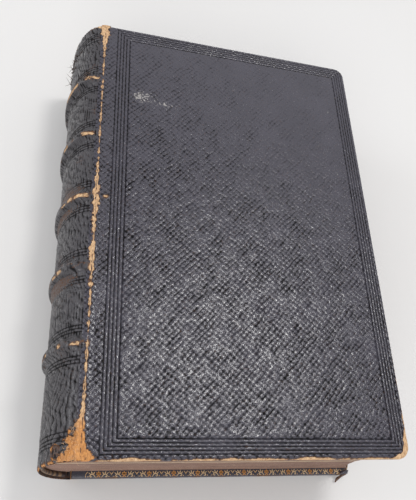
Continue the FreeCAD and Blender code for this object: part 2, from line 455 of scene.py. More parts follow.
def leaf_material():
    """Old book paper, browner towards its edges, with a few foxed spots."""
    made, tree = material("old_paper")
    place = pattern_space(tree)
    fibres = cloud(place, 2.2, 6, 0.7)
    broad = cloud(place, 0.05, 4, 0.6)
    spots = cloud(place, 0.35, 3, 0.5)
    rim = layer(tree, "rim")
    colour = mixed(broad, (0.66, 0.56, 0.41), (0.76, 0.67, 0.51))
    colour = mixed(spread(spots, 0.64, 0.74, 0, 0.4), colour, (0.42, 0.25, 0.12))
    colour = mixed(spread(fibres, 0.35, 0.65, 0, 0.12), colour, (0.50, 0.40, 0.27))
    colour = mixed(times(rim, 0.55), colour, (0.45, 0.30, 0.17))
    return finish(made, colour, spread(fibres, 0.3, 0.7, 0.72, 0.86), fibres, 0.00002)


def endpaper_material(cad):
    """Combed marbled paper in dull red, slate and cream."""
    made, tree = material("marbled_cad" if cad else "marbled")
    place = cad_space(tree) if cad else pattern_space(tree)
    sway = cloud(place, 0.12, 3, 0.5)
    rows = node(tree, "SeparateXYZ", {0: place}).outputs
    comb = plus(rows[1], times(sway, 26.0))
    comb = plus(comb, times(cloud(place, 0.5, 3, 0.5), 5.0))
    comb = plus(comb, maths("PINGPONG", rows[0], 3.2))
    wave = maths("SINE", times(comb, 1.9))
    second = maths("SINE", times(comb, 0.83))
    colour = mixed(spread(wave, -0.1, 0.1), (0.17, 0.030, 0.026), (0.040, 0.055, 0.085))
    colour = mixed(spread(wave, 0.75, 0.85), colour, (0.60, 0.49, 0.33))
    colour = mixed(spread(second, 0.72, 0.8, 0, 0.9), colour, (0.33, 0.20, 0.075))
    fibres = cloud(place, 2.4, 5, 0.7)
    return finish(made, colour, spread(fibres, 0.3, 0.7, 0.42, 0.60), fibres, 0.00002)


def silk_material():
    """Silk wound round the endband in two colours, both kept very dark: partly the silk's own colour, partly
    painted shade for the dark recess at the tail.
    """
    made, tree = material("endband_silk")
    place = pattern_space(tree)
    along = node(tree, "SeparateXYZ", {0: place}).outputs[0]
    turn = maths("FRACT", times(along, 0.37))
    fine = cloud(pattern_space(tree, (4, 1, 1)), 2.2, 4, 0.6)
    # Both tones are darker than the silk alone would be, partly as painted shade for the recess at the tail.
    dark = mixed(fine, (0.020, 0.012, 0.012), (0.05, 0.03, 0.028))
    pale = mixed(fine, (0.14, 0.075, 0.035), (0.24, 0.15, 0.08))
    colour = mixed(spread(turn, 0.48, 0.52), dark, pale)
    return finish(made, colour, spread(fine, 0.3, 0.7, 0.40, 0.60), fine, 0.00004)


def gold_material():
    """Gold leaf tooled into leather, thin and rubbed."""
    made, tree = material("tooled_gold")
    place = pattern_space(tree)
    rubbed = cloud(place, 2.4, 5, 0.7)
    tone = layer(tree, "tone")
    colour = mixed(tone, (0.74, 0.56, 0.34), (0.62, 0.30, 0.095))
    colour = mixed(spread(rubbed, 0.54, 0.68, 0, 0.6), colour, (0.14, 0.075, 0.040))
    return finish(made, colour, spread(rubbed, 0.3, 0.7, 0.30, 0.55), rubbed, 0.00003, Metallic=0.35)


def floor_material():
    """A matt white table top, painted brighter far away: painted light that lifts the distant, upturned part
    of the floor.
    """
    made, tree = material("pale_table")
    place = cad_space(tree, (0.02, 0.02, 0.02))
    broad = cloud(place, 0.4, 3, 0.5)
    fine = cloud(place, 30, 3, 0.5)
    near = mixed(broad, (0.605, 0.60, 0.595), (0.63, 0.627, 0.625))
    metres = cad_space(tree, (0.001, 0.001, 0.001))
    reach = node(tree, "VectorMath", {0: metres}, operation="LENGTH").outputs["Value"]
    # Painted light: the colour grows paler with distance, brightening the distant, upturned floor.
    colour = mixed(spread(reach, 0.45, 1.5), near, (0.93, 0.93, 0.93))
    return finish(made, colour, spread(fine, 0.3, 0.7, 0.55, 0.65), fine, 0.00002)


# ---- covers

def rounded(x, y, fore, half, radius):
    """Bends the fore-edge corners of a rectangular pattern of points into round ones."""
    a = np.clip((x - (fore - radius)) / radius, 0, 1)
    b = np.clip((np.abs(y) - (half - radius)) / radius, 0, 1)
    both = (a > 0) & (b > 0)
    new_x = np.where(both, fore - radius + radius * a * np.sqrt(1 - b * b / 2), x)
    new_y = np.where(both, np.sign(y) * (half - radius + radius * b * np.sqrt(1 - a * a / 2)), y)
    return new_x, new_y


def distance_inside(x, y):
    """How far a point of a cover lies inside its head, fore and tail edges."""
    across = x - (FORE_X - CORNER)
    along = np.abs(y) - (HALF_Y - CORNER)
    corner = np.hypot(np.maximum(across, 0), np.maximum(along, 0))
    return CORNER - corner - np.minimum(np.maximum(across, along), 0)


def cover_relief(x, y, seed):
    """Height of a cover's face in metres, and how much of a pebble's top each point is."""
    tops = crossed_grain(x, y, (50, -42), 1.28 * MM, 0.36 * MM, seed)
    worn_flat = step_up(y + 0.6 * x, -10 * MM, 75 * MM)
    deep = GRAIN_DEEP * (1 - 0.5 * worn_flat)
    frames = []
    for spine_side, edge_side in zip(SPINE_FILLETS, EDGE_FILLETS):
        left = JOINT_X + spine_side * MM - x
        right = x - (FORE_X - edge_side * MM)
        frames.append(np.maximum(np.maximum(left, right), np.abs(y) - (HALF_Y - edge_side * MM)))
    framed = step_up(-frames[0], -0.4 * MM, 0) * step_up(frames[4], -0.5 * MM, 0.2 * MM)
    rim = step_up(frames[0], -0.1 * MM, 0.4 * MM)
    deep = deep * (1 - 0.62 * framed) * (1 - 0.45 * rim)
    height = -deep * (1 - tops)
    tops = tops + 0.3 * worn_flat * (1 - tops)
    tops = np.maximum(tops, 0.45 * framed)
    # Each fillet groove also lowers tops, so the leather material paints shade into it.
    for frame_line, strength in zip(frames, (0.65, 0.6, 0.65, 0.7, 1.25)):
        groove = np.exp(-(frame_line / FILLET_WIDE) ** 2)
        height = height - FILLET_DEEP * strength * groove * (0.8 + 0.4 * rough(x, y, 3 * MM, 5))
        tops = tops * (1 - 0.85 * groove)
    height = height + 0.11 * MM * framed * (noise(x, y, 0.9 * MM, 17) - 0.5)
    inside = distance_inside(x, y)
    roll = np.clip(1 - inside / EDGE_ROUND, 0, 1)
    height = height - EDGE_ROUND * (1 - np.sqrt(1 - roll * roll))
    return height, tops


def slip_bumps(x, y):
    """Low bumps where the cords were laced into the board."""
    high = 0
    for k, band in enumerate(BANDS):
        away = ((x - JOINT_X - 3.1 * MM) / (1.7 * MM)) ** 2 + ((y - band) / (1.25 * MM)) ** 2
        high = high + (0.22 * MM if k == 2 else 0.09 * MM) * np.exp(-away)
    return high


def scuff_marks(x, y):
    """Dry whitish rubs: one near the head and a few small ones."""
    marks = 0
    spots = [(12.3, 111.5, 3.8, 2.4, 0.95), (21, 109.5, 4.5, 1.5, 0.55), (44, 121, 1.0, 0.7, 0.6),
             (79, 118.5, 0.6, 1.0, 0.6), (33, 96, 1.1, 0.6, 0.4), (57, 30, 0.8, 0.6, 0.3)]
    for from_joint, from_tail, wide, high, strength in spots:
        away = ((x - JOINT_X - from_joint * MM) / (wide * MM)) ** 2
        away = away + ((y + HALF_Y - from_tail * MM) / (high * MM)) ** 2
        marks = marks + strength * np.exp(-away)
    return marks * (0.5 + 0.9 * rough(x, y, 1.6 * MM, 71))


def cover_lines(step, fine_step):
    """Grid lines over a cover, close together where the fillets are."""
    frame_wide = 5.4 * MM
    x_fine = [(JOINT_X + 3.8 * MM, JOINT_X + 8.5 * MM), (FORE_X - frame_wide, FORE_X)]
    y_fine = [(-HALF_Y, frame_wide - HALF_Y), (HALF_Y - frame_wide, HALF_Y)]
    x_lines = lines_between(JOINT_X + 0.1 * MM, FORE_X, step, fine_step, x_fine)
    return x_lines, lines_between(-HALF_Y, HALF_Y, step, fine_step, y_fine)


def cover_face(x, y, side, rubbed, seed):
    """Height of a cover's outer face, its pebbles' tops and its worn places."""
    relief, tops = cover_relief(x, y, seed)
    worn = np.maximum(joint_wear(x - JOINT_X, y), rubbed * edge_wear(distance_inside(x, y), x, y))
    relief = relief - 0.07 * MM * worn
    if side > 0:
        relief = relief + slip_bumps(x, y)
        slip = ((x - JOINT_X - 2.6 * MM) / (0.9 * MM)) ** 2 + ((y - BANDS[2]) / (0.55 * MM)) ** 2
        worn = np.maximum(worn, 0.85 * np.exp(-slip ** 2))
    return relief, tops, worn


def turn_in_rings(loop_x, loop_y, rubbed, seed):
    """Rings of points over a board's edges and onto its inside, with their tops and worn places."""
    deep = COVER_THICK
    profile = [(0.0, EDGE_ROUND * 1.25), (0.0, deep * 0.62), (0.1 * MM, deep - 0.45 * MM),
               (0.28 * MM, deep - 0.12 * MM), (0.6 * MM, deep), (1.4 * MM, deep), (2.4 * MM, deep),
               (4.5 * MM, deep), (6.5 * MM, deep), (8.2 * MM, deep), (8.9 * MM, deep - 0.02 * MM),
               (TURN_IN, deep - 0.12 * MM), (TURN_IN + 0.02 * MM, deep - 0.26 * MM)]
    points = []
    tops = []
    worn = []
    for inset, down in profile:
        x = JOINT_X + (loop_x - JOINT_X) * (BOARD_WIDE - inset) / BOARD_WIDE
        y = loop_y * (HALF_Y - inset) / HALF_Y
        x, y = rounded(x, y, FORE_X - inset, HALF_Y - inset, max(CORNER - inset, 0.25 * MM))
        grain = crossed_grain(x, y + 3 * down, (50, -48), 0.95 * MM, 0.8 * MM, seed + 9)
        lower = down - 0.05 * MM * grain * (0.6 * MM < inset < TURN_IN)
        mitre = np.abs((FORE_X - x) - (HALF_Y - np.abs(y))) < 0.35 * MM
        lower = lower - 0.10 * MM * mitre * (0.5 * MM < inset < 8.5 * MM) * (x > FORE_X - 12 * MM)
        points.append(xyz(x, y, -lower))
        tops.append(0.35 + 0.5 * grain)
        worn.append(rubbed * edge_wear(inset + 0.3 * MM, x, y) * (inset < 1 * MM))
    return np.concatenate(points), np.concatenate(tops), np.concatenate(worn)


def make_cover(name, side, step, fine_step, seed):
    """A board's leather: its outer face, its rounded edges and its turn-in. side is 1 for the front."""
    flat_x, flat_y = np.meshgrid(*cover_lines(step, fine_step))
    x, y = rounded(flat_x, flat_y, FORE_X, HALF_Y, CORNER)
    rubbed = 1.0 if side > 0 else 0.5
    relief, tops, worn = cover_face(x, y, side, rubbed, seed)
    torn = near_tail(y) * (x < JOINT_X + 4 * MM) * (side > 0)
    last = grid_rim(*x.shape)
    count = len(last)
    rings, ring_tops, ring_worn = turn_in_rings(flat_x.ravel()[last], flat_y.ravel()[last], rubbed, seed)
    faces = grid_faces(*x.shape).tolist()
    for first in range(x.size, x.size + len(rings), count):
        here = first + np.arange(count)
        faces += np.stack([last, here, np.roll(here, -1), np.roll(last, -1)], -1).tolist()
        last = here
    faces.append(last[::-1].tolist())
    points = np.concatenate([xyz(x, y, relief).reshape(-1, 3), rings])
    rest = points / MM
    points[:, 2] = TOP_Z + points[:, 2]
    if side < 0:
        points[:, 2] = TOP_Z - points[:, 2]
        rest[:, 0] += 300
        faces = [face[::-1] for face in faces]
    beyond = (0, len(rings))
    layers = {
        "tops": np.concatenate([tops.ravel(), ring_tops]),
        "worn": np.concatenate([worn.ravel(), ring_worn]),
        "scuffed": np.pad(scuff_marks(x, y).ravel(), beyond),
        "torn": np.pad(torn.ravel(), beyond),
    }
    return add_object(name, points, faces, "leather", rest, layers)


# ---- spine

def arc_points(turns, sink):
    """Places round the spine at angles from the back joint (0) to the front joint (pi), sunk in."""
    x = JOINT_X - (BULGE - sink) * np.sin(turns)
    z = MID_Z - (MID_Z - sink) * np.cos(turns)
    out_x = -MID_Z * np.sin(turns)
    out_z = -BULGE * np.cos(turns)
    size = np.hypot(out_x, out_z)
    return x, z, out_x / size, out_z / size


def even_turns(count, start=0.0, end=math.pi):
    """Angles that divide the spine's curve into equal lengths."""
    fine = np.linspace(start, end, 2000)
    x, z, _, _ = arc_points(fine, 0)
    length = np.concatenate([[0], np.cumsum(np.hypot(np.diff(x), np.diff(z)))])
    return np.interp(np.linspace(0, length[-1], count), length, fine), length[-1]


def band_height(y):
    """How far the leather stands out over the raised bands, from 0 to 1."""
    away = np.min([np.abs(y - band) for band in BANDS], axis=0)
    return 1 - step_up(away, 0.75 * MM, 2.25 * MM)


def spine_relief(along, y, turns):
    """Height of the spine's leather, and how much of a wrinkle's top each point is."""
    sway = 1.5 * MM * noise(along, y, 4.0 * MM, 41) + 0.8 * MM * noise(along, y, 1.7 * MM, 42)
    lean = 0.16 * y * (2 * noise(along, y, 30 * MM, 44) - 0.6)
    wrinkles = np.abs(np.sin(math.pi * (along + sway + lean) / (1.15 * MM)))
    cuts = np.abs(np.sin(math.pi * (y + 0.7 * along + 2 * sway) / (3.1 * MM)))
    tops = (wrinkles * (0.35 + 0.65 * np.minimum(1, 1.7 * cuts))) ** 0.7
    tops = tops * (0.65 + 0.35 * noise(along, y, 1.3 * MM, 46))
    bands = band_height(y)
    height = -0.33 * MM * (1 - tops) * (1 - 0.65 * bands)
    lines = [sign * away * MM + band for band in BANDS for away in BAND_FILLETS for sign in (-1, 1)]
    lines += [sign * (HALF_Y - away * MM) for away in (4.0, 4.9, 5.8, 6.9) for sign in (-1, 1)]
    # Each tooled groove also lowers tops, so the leather material paints shade into it.
    for line in lines:
        groove = np.exp(-((y - line) / (0.19 * MM)) ** 2)
        height = height - 0.15 * MM * groove
        tops = tops * (1 - 0.8 * groove)
    rise = np.sin(turns)
    height = height + bands * BAND_HIGH * np.minimum(1, 4 * rise * rise + 0.55 * rise)
    return height * (0.25 + 0.75 * step_up(rise, 0, 0.12)), tops


def torn_hole(along_joint, y):
    """Distance from the middle of the small tear near the tail of the spine, 1 at its edge."""
    across = (along_joint - 7.6 * MM) / (1.9 * MM)
    along = (y + HALF_Y - 2.7 * MM) / (1.75 * MM)
    return np.hypot(across, along) * (0.75 + 0.5 * rough(along_joint, y, 1.4 * MM, 59))


def spine_wear(along_joint, y, turns):
    """Worn joint, rubbed band crests and rubbed head and tail of the spine."""
    worn = joint_wear(-along_joint, y)
    crest = 1 - step_up(np.min([np.abs(y - band) for band in BANDS], axis=0), 0.25 * MM, 1.15 * MM)
    broken = 0.6 * rough(along_joint, y * 0.5, 3.6 * MM, 51) + 0.4 * rough(along_joint, y, 1.1 * MM, 52)
    front = step_up(np.cos(math.pi - turns), -0.55, 0.5)
    crest = crest * step_up(broken, 0.42, 0.60) * (0.30 + 0.55 * front)
    ends = step_up(np.abs(y), HALF_Y - 1.4 * MM, HALF_Y - 0.2 * MM)
    ends = ends * step_up(rough(along_joint, y, 2.4 * MM, 53), 0.3, 0.55) * 0.8
    rubbed = 0.15 * step_up(rough(along_joint, y, 7 * MM, 55), 0.55, 0.75)
    hole = torn_hole(along_joint, y)
    rim = np.exp(-((hole - 1) / 0.13) ** 2) * (0.15 + 1.2 * rough(along_joint, y, 0.8 * MM, 57))
    # No worn colour inside the tear, so its painted shade stays dark.
    worn = np.where(hole < 1.15, np.minimum(worn, 0.1), worn)
    return np.maximum(np.maximum(np.maximum(worn, rim), crest), np.maximum(ends * (hole > 1), rubbed))


def spine_inside(turns, steps):
    """Rows of points from the head of the spine's leather down its inside, and their pattern space."""
    places = [(HALF_Y, 0.8), (HALF_Y - 0.05 * MM, 1.3), (HALF_Y - 0.3 * MM, 1.55),
              (HALF_Y - 0.55 * MM, 1.5), (HALF_Y - 0.6 * MM, 0.6)]
    places += [(place, 0.5) for place in np.linspace(HALF_Y - 2 * MM, 2 * MM - HALF_Y, 24)]
    places += [(0.5 * MM - HALF_Y, 0.5), (0.1 * MM - HALF_Y, 0.48)]
    fade = step_up(np.sin(turns), 0, 0.22)
    rows = []
    rest = []
    for place, sink in places:
        x, z, _, _ = arc_points(turns, sink * MM * fade)
        bulge = band_height(place) * BAND_HIGH * fade
        rows.append(xyz(x - bulge * np.sin(turns), place, z))
        rest.append(xyz(steps / MM + 100, place / MM + 200, sink))
    return rows, rest


def make_spine():
    """The spine's leather: outer face with bands, turned-in head, worn tail and a plain inside."""
    zones = [(band - 5.4 * MM, band + 5.4 * MM) for band in BANDS]
    zones = [(-HALF_Y, 7.6 * MM - HALF_Y)] + zones + [(HALF_Y - 7.6 * MM, HALF_Y)]
    y_lines = lines_between(-HALF_Y, HALF_Y, 0.42 * MM, 0.19 * MM, zones)
    turns, length = even_turns(108, 0.006, math.pi - 0.006)
    steps = np.linspace(0, length, len(turns))
    turn, y = np.meshgrid(turns, y_lines)
    along, _ = np.meshgrid(steps, y_lines)
    height, tops = spine_relief(along, y, turn)
    worn = spine_wear(length - along, y, turn)
    # The tear's inside is painted dark: its tops drop nearly to 0, so the leather material gives it painted
    # shade for the hollow behind it.
    hole = 1 - step_up(torn_hole(length - along, y), 0.7, 1.0)
    height = height - 0.35 * MM * hole
    tops = tops * (1 - 0.9 * hole)
    height = height - 0.10 * MM * worn - 0.35 * MM * step_up(np.abs(y), HALF_Y - 0.5 * MM, HALF_Y)
    x, z, out_x, out_z = arc_points(turn, 0)
    inside, inside_rest = spine_inside(turns, steps)
    points = np.concatenate([xyz(x + out_x * height, y, z + out_z * height), inside])
    rest = np.concatenate([xyz(along / MM + 100, y / MM, 0), inside_rest])
    rows, columns = points.shape[:2]
    extra = rows - len(y_lines)
    layers = {
        "tops": np.concatenate([tops, np.full((extra, columns), 0.5)]),
        "worn": np.concatenate([worn, np.repeat(worn[-1:], 2, 0), np.full((extra - 2, columns), 0.3)]),
        "scuffed": np.zeros((rows, columns)),
        "torn": near_tail(points[:, :, 1]),
    }
    faces = grid_faces(rows, columns, flip=True).tolist()
    first = np.arange(columns)
    last = (rows - 1) * columns + first
    faces += np.stack([last[:-1], first[:-1], first[1:], last[1:]], -1)[:, ::-1].tolist()
    end = np.arange(rows) * columns
    faces += [end.tolist(), (end + columns - 1)[::-1].tolist()]
    return add_object("spine_skin", points, faces, "spine", rest, layers)


def make_joint_leather(name, side):
    """The narrow strip of leather that bends between a cover and the spine."""
    y_lines = np.linspace(-HALF_Y + 0.1 * MM, HALF_Y - 0.1 * MM, 420)
    out_lines = np.linspace(-STRIP_HALF, STRIP_HALF, 19)
    out, y = np.meshgrid(out_lines, y_lines)
    angle = np.arcsin(np.clip(-out / BULGE, 0, 1))
    spine_x, spine_z, _, _ = arc_points(math.pi - angle, 0)
    x = np.where(out < 0, spine_x, JOINT_X + out)
    z = np.where(out < 0, spine_z, TOP_Z)
    worn = joint_wear(out, y)
    edge = np.abs(out) / STRIP_HALF
    tops = crossed_grain(out, y, (50, -42), 1.1 * MM, 0.3 * MM, 65)
    height = 0.07 * MM - 0.16 * MM * edge ** 3 - 0.06 * MM * worn - 0.05 * MM * (1 - tops) * (1 - edge)
    height = height + 0.10 * MM * (rough(x, y, 0.8 * MM, 61) - 0.5) * (0.3 + worn) * (1 - edge)
    z = z + height
    if side < 0:
        z = np.maximum(TOP_Z - z, 0.0)
    rest = xyz(out / MM + 60, y / MM, 0)
    layers = {"tops": tops, "worn": worn, "scuffed": np.zeros(x.shape), "torn": near_tail(y)}
    faces = grid_faces(len(y_lines), len(out_lines), flip=side < 0)
    return add_object(name, xyz(x, y, z), faces, "leather", rest, layers)


# ---- leaves and text block

def fold_x(z):
    """Where the folds of the text block lie at a height, under the rounded spine."""
    share = np.clip((z - MID_Z) / (MID_Z - 0.9 * MM), -1, 1)
    return JOINT_X - (JOINT_X - APEX_X) * np.sqrt(1 - share * share)


def leaf_loop(count_x, count_y):
    """Points round a leaf, as shares of its width and height, from its tail spine corner."""
    along = np.linspace(0, 1, count_x, endpoint=False)
    up = np.linspace(0, 1, count_y, endpoint=False)
    share_x = np.concatenate([along, np.ones(count_y), 1 - along, np.zeros(count_y)])
    share_y = np.concatenate([np.zeros(count_x), up, np.ones(count_x), 1 - up])
    return share_x, share_y


def page_stack(levels, left, right, count_x, count_y, seed):
    """Rings of points up a stack of leaves, each leaf a little out of line with its neighbours."""
    share_x, share_y = leaf_loop(count_x, count_y)
    dice_box = np.random.default_rng(seed)
    rings = []
    for k, (low, high) in enumerate(zip(levels[:-1], levels[1:])):
        slip = dice_box.normal(0, 0.035 * MM, 4)
        depth = 0.07 * MM if k % 8 else 0.16 * MM
        for z, inset in ((low, depth), (low + (high - low) * 0.3, 0), (low + (high - low) * 0.75, 0)):
            wave = 0.10 * MM * (noise(share_x * 0.09 + share_y * 0.14, z, 6 * MM, seed) - 0.5)
            x0, x1 = left(z) + inset, right(z) - inset + slip[0]
            y0, y1 = -PAGE_Y + inset + abs(slip[1]), PAGE_Y - inset - abs(slip[2])
            x = x0 + (x1 - x0) * share_x + wave * (share_x > 0.999)
            y = y0 + (y1 - y0) * share_y + wave * ((share_y > 0.999) * -1.0 + (share_y < 0.001))
            rings.append(xyz(x, y, z))
    z = levels[-1]
    x = left(z) + (right(z) - left(z)) * share_x
    rings.append(xyz(x, -PAGE_Y + 2 * PAGE_Y * share_y, z))
    return np.array(rings)


def make_pages(name, mirror):
    """Half the text block: stacked leaves, hollow at the fore edge and round at the spine."""
    body = page_stack(np.linspace(BLOCK_LOW_Z, BLOCK_TOP_Z, 57), fold_x, lambda z: fold_x(z) + PAGE_WIDE,
                      62, 92, 3 if mirror else 4)
    foot = page_stack(np.linspace(0.95 * MM, BLOCK_LOW_Z, 8), fold_x, lambda z: JOINT_X - 0.35 * MM, 6, 60, 5)
    faces = []
    skins = []
    start = 0
    for rings in (foot, body):
        rows, columns = rings.shape[:2]
        faces += tube_faces(rows, columns, start)
        skins += [0] * ((rows - 1) * columns) + [1, 1]
        start += rows * columns
    points = np.concatenate([foot.reshape(-1, 3), body.reshape(-1, 3)])
    rest = points / MM
    if mirror:
        points, faces = mirrored(points, faces)
        rest = rest + (0, 0, 60)
    piece = add_object(name, points, faces, "edges", rest, {"rim": np.full(len(points), 0.2)}, smooth=False)
    piece.data.materials.append(MATERIALS["leaf"])
    piece.data.polygons.foreach_set("material_index", skins)
    return piece


def make_leaf(name, node_name, seed, face="leaf"):
    """One loose leaf in its CAD place, with slightly uneven edges."""
    low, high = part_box(node_name)
    nx, ny = 46, 54
    total = nx * ny
    u, v = np.meshgrid(np.linspace(0, 1, nx), np.linspace(0, 1, ny))
    uneven = 0.15 * MM * (noise(v * 0.13, u * 0.1, 9 * MM, seed) - 0.5)
    trim = 0.15 * MM
    x = low[0] + (high[0] - trim - low[0]) * u - (u > 0.99) * np.abs(uneven)
    y = low[1] + trim + (high[1] - low[1] - 2 * trim) * v
    half = (high[2] - low[2]) * 0.42
    middle = (high[2] + low[2]) / 2
    points = np.array([xyz(x, y, middle - half), xyz(x, y, middle + half)])
    loop = grid_rim(ny, nx)
    after = np.roll(loop, -1)
    faces = grid_faces(ny, nx, flip=True).tolist() + grid_faces(ny, nx, total).tolist()
    skins = [0] * len(faces) + [1] * len(loop)
    faces += np.stack([loop, after, after + total, loop + total], -1).tolist()
    rim = (1 - np.minimum(np.minimum(1 - u, np.minimum(v, 1 - v) * 1.5), 0.05) / 0.05) ** 2
    piece = add_object(name, points, faces, face, points / MM + (0, 0, 7 * seed), {"rim": [rim, rim]})
    piece.data.materials.append(MATERIALS["edges"])
    piece.data.polygons.foreach_set("material_index", skins)
    for polygon in piece.data.polygons[len(skins) - len(loop):]:
        polygon.use_smooth = False
    return piece


def make_inner_hinge(name, side):
    """The strip of endpaper between a board's pastedown and the first loose leaf."""
    y_lines = np.linspace(-PAGE_Y + 0.3 * MM, PAGE_Y - 0.3 * MM, 60)
    z_lines = np.linspace(PAPER_HINGE_LOW, PAPER_HINGE_HIGH, 15)
    y, z = np.meshgrid(y_lines, z_lines)
    lean = (z - z_lines[0]) / (z_lines[-1] - z_lines[0])
    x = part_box("front_free_endpaper")[0][0] + 0.12 * MM - 0.24 * MM * lean
    points = xyz(x, y, z)
    faces = grid_faces(*x.shape)
    if side < 0:
        points, faces = mirrored(points, faces)
    piece = add_object(name, points, faces, "endpaper", xyz(lean * 6, y / MM, 0))
    thicken = piece.modifiers.new("paper", "SOLIDIFY")
    thicken.thickness = 0.1 * MM
    return piece


# ---- lining, cords and endbands

def make_lining():
    """Open-woven lining glued over the folds, under the leather."""
    turns, length = even_turns(60, 0.09, math.pi - 0.09)
    y_lines = np.linspace(-PAGE_Y + 0.1 * MM, PAGE_Y - 0.1 * MM, 90)
    turn, y = np.meshgrid(turns, y_lines)
    sheets = []
    for sink in (0.56 * MM, 0.74 * MM):
        x, z, _, _ = arc_points(turn, sink)
        sheets.append(xyz(x, y, z))
    faces = grid_faces(*turn.shape, flip=True).tolist() + grid_faces(*turn.shape, turn.size).tolist()
    rest = xyz(np.linspace(0, length, len(turns)) / MM, y / MM, 0)
    return add_object("spine_lining_cloth", sheets, faces, "lining", [rest, rest])


def spine_tube(name, look, counts, start, sink, middle, size, twist, surface):
    """A round piece that follows the spine. size is half its size along the book and out of it."""
    turns, length = even_turns(counts[0], start, math.pi - start)
    around = np.linspace(0, 2 * math.pi, counts[1], endpoint=False)
    turn, angle = np.meshgrid(turns, around, indexing="ij")
    along = np.linspace(0, length, len(turns))[:, None] / MM
    bumps = surface(along, angle)
    x, z, out_x, out_z = arc_points(turn, sink)
    out = size[1] * np.cos(angle) * bumps
    points = xyz(x + out_x * out, middle + size[0] * np.sin(angle) * bumps, z + out_z * out)
    return add_object(name, points, tube_faces(*turn.shape, flip=True), look, xyz(along, twist * angle, 0))


def make_cord(name, band):
    """A twisted hemp cord that goes round the spine under a raised band."""
    size = (1.15 * MM, 0.42 * MM)
    return spine_tube(name, "cord", (150, 14), 0.28, 0.05 * MM, band, size, 3,
                      lambda along, angle: 1 + 0.14 * np.abs(np.sin(1.5 * (angle + along * 1.5))))


def make_endband(name, node_name):
    """Silk wound round a core, following the folds at the head or the tail."""
    low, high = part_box(node_name)
    size = ((high[1] - low[1]) / 2 * 0.96, 0.45 * MM)
    return spine_tube(name, "silk", (220, 16), 0.22, 1.13 * MM, (low[1] + high[1]) / 2, size, 1.3,
                      lambda along, angle: 1 + 0.045 * np.sin(along * 2 * math.pi / 0.55))


# ---- gold tooling inside the covers

MOTIF_LONG = 7.3        # mm of border that one motif takes up

def ribbon(path, wide):
    """A flat tapering stroke along a short path, in millimetres, as points and faces."""
    path = np.array(path, float)
    fine = np.linspace(0, len(path) - 1, 4 * (len(path) - 1) + 1)
    x = np.interp(fine, np.arange(len(path)), path[:, 0])
    y = np.interp(fine, np.arange(len(path)), path[:, 1])
    x[1:-1] = (x[:-2] + x[1:-1] * 2 + x[2:]) / 4
    y[1:-1] = (y[:-2] + y[1:-1] * 2 + y[2:]) / 4
    way_x, way_y = np.gradient(x), np.gradient(y)
    size = np.hypot(way_x, way_y) + 1e-9
    half = wide / 2 * (0.45 + 0.55 * np.sin(np.linspace(0.25, math.pi - 0.25, len(x))))
    left = np.stack([x - way_y / size * half, y + way_x / size * half], -1)
    right = np.stack([x + way_y / size * half, y - way_x / size * half], -1)
    count = len(x)
    faces = [[k, k + count, k + count + 1, k + 1] for k in range(count - 1)]
    return np.concatenate([left, right]), faces


def petal(x, y, long, wide, turn):
    """A small filled leaf shape, in millimetres."""
    angle = np.linspace(0, 2 * math.pi, 10, endpoint=False)
    along = long * np.cos(angle)
    out = wide * np.sin(angle) * (1 - 0.25 * np.cos(angle))
    turn = math.radians(turn)
    points = np.stack([x + along * math.cos(turn) - out * math.sin(turn),
                       y + along * math.sin(turn) + out * math.cos(turn)], -1)
    return points, [list(range(10))]


def roll_motif():
    """One repeat of the border: a leafy flower, a scroll on each side of it and a forked stem."""
    shapes = []
    for turn in (90, 30, 150, -15, 195):
        way = math.radians(turn)
        shapes.append((*petal(0.42 * math.cos(way), 1.05 + 0.36 * math.sin(way), 0.36, 0.19, turn), 1.0))
    shapes.append((*petal(0, 1.0, 0.24, 0.22, 0), 1.0))
    for side in (-1, 1):
        shapes.append((*ribbon([(0.08 * side, 0.75), (0.2 * side, 0.4), (0.55 * side, 0.15)], 0.26), 1.0))
        stem = [(0.85 * side, 0.12), (1.15 * side, 0.55), (1.6 * side, 0.95), (2.15 * side, 0.95),
                (2.45 * side, 0.6), (2.3 * side, 0.28), (1.98 * side, 0.3), (1.98 * side, 0.52)]
        shapes.append((*ribbon(stem, 0.25), 0.1))
        shapes.append((*petal(1.28 * side, 1.28, 0.42, 0.15, 90 + 28 * side), 0.35))
        shapes.append((*petal(1.92 * side, 1.42, 0.40, 0.14, 90 - 22 * side), 0.1))
        shapes.append((*petal(2.55 * side, 1.22, 0.34, 0.12, 90 - 48 * side), 0.1))
        shapes.append((*ribbon([(3.65 * side, 0.8), (3.45 * side, 1.2), (3.05 * side, 1.6)], 0.2), 0.4))
        shapes.append((*ribbon([(3.65 * side, 0.14), (3.64 * side, 0.8)], 0.2), 0.4))
        shapes.append((*petal(2.95 * side, 0.35, 0.16, 0.13, 0), 0.6))
    return shapes


def make_gold_roll(name, side):
    """The gilt border round the turned-in leather of a board, just inside its three outer edges."""
    motif = roll_motif()
    near, level = 0.12 * MM, COVER_THICK + 0.02 * MM
    points = []
    faces = []
    tones = []
    total = 0
    runs = [("tail", JOINT_X + 4 * MM, FORE_X - 3 * MM), ("head", JOINT_X + 4 * MM, FORE_X - 3 * MM),
            ("fore", -HALF_Y + 3.5 * MM, HALF_Y - 3.5 * MM)]
    for run, start, end in runs:
        repeats = round((end - start) / (MOTIF_LONG * MM))
        pitch = (end - start) / repeats
        for k in range(repeats):
            centre = start + (k + 0.5) * pitch
            for shape, shape_faces, tone in motif:
                along = centre + shape[:, 0] * pitch / MOTIF_LONG
                out = shape[:, 1] * MM * 1.02 + near
                if run == "fore":
                    x, y = FORE_X - out, along
                else:
                    x, y = along, (HALF_Y - out) * (-1 if run == "tail" else 1)
                points.append(xyz(x, y, level))
                way = 1 if run == "head" else -1
                faces += [[total + v for v in face[::way]] for face in shape_faces]
                tones += [tone] * len(x)
                total += len(x)
    points = np.concatenate(points)
    rest = points / MM
    if side > 0:
        points, faces = mirrored(points, faces)
    return add_object(name, points, faces, "gold", rest, {"tone": tones})


# ---- torn and frayed places

